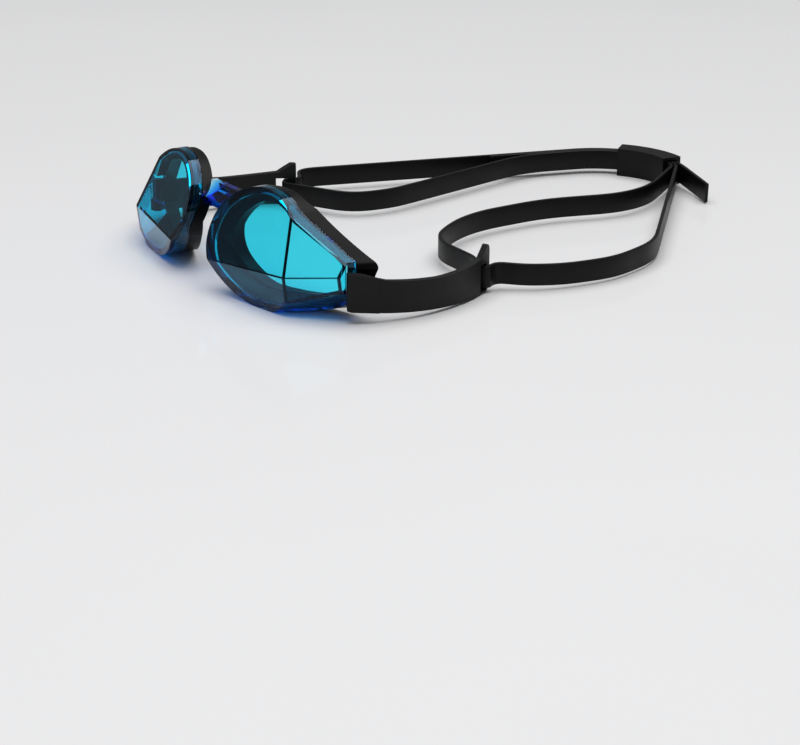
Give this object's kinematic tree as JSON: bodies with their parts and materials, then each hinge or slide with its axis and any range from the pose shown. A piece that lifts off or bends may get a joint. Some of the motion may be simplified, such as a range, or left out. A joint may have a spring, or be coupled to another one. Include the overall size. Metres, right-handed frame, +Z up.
{
  "type": "swim goggles",
  "caption": "Racing swim goggles with faceted blue eye cups, soft black face seals, a nose bridge, curved side arms and one flat doubled strap joined by a ribbed buckle.",
  "frame": {"origin": "middle of the nose, at the foremost lens corners, on the table the goggles stand on", "axes": "+X towards the wearer's left, +Y from the lenses to the back of the head, +Z up"},
  "size_m": [0.153, 0.2189, 0.0376],
  "materials": {
    "blue_polycarbonate": "clear deep blue tinted polycarbonate, polished",
    "bridge_polycarbonate": "clear blue polycarbonate, polished",
    "seal_elastomer": "soft black elastomer, satin",
    "arm_elastomer": "matte black moulded elastomer",
    "strap_silicone": "black silicone, low sheen",
    "buckle_plastic": "matte black plastic"
  },
  "bodies": {
    "eyepiece_and_strap": {"left_lens": "blue_polycarbonate", "right_lens": "blue_polycarbonate", "left_face_seal": "seal_elastomer", "right_face_seal": "seal_elastomer", "nose_bridge": "bridge_polycarbonate", "strap_left_length": "strap_silicone", "strap_middle_length": "strap_silicone", "strap_right_length": "strap_silicone"},
    "left_arm": {"left_side_arm": "arm_elastomer", "strap_left_slot_loop": "strap_silicone"},
    "right_arm": {"right_side_arm": "arm_elastomer", "strap_right_slot_loop": "strap_silicone"},
    "buckle": {"strap_buckle": "buckle_plastic"}
  },
  "joints": [
    {"name": "left_arm_flex", "type": "hinge", "parent": "eyepiece_and_strap", "child": "left_arm", "pos_m": [0.0669, 0.0232, 0.01], "axis": [0, 0, 1], "range_deg": [-12, 12], "stiffness_Nm_per_rad": 0.05},
    {"name": "right_arm_flex", "type": "hinge", "parent": "eyepiece_and_strap", "child": "right_arm", "pos_m": [-0.0669, 0.0232, 0.01], "axis": [0, 0, -1], "range_deg": [-12, 12], "stiffness_Nm_per_rad": 0.05},
    {"name": "buckle_slide_on_strap", "type": "hinge", "parent": "eyepiece_and_strap", "child": "buckle", "pos_m": [-0.01, 0.184, 0.005], "axis": [0, 0, 1], "range_deg": [-3, 20]}
  ]
}
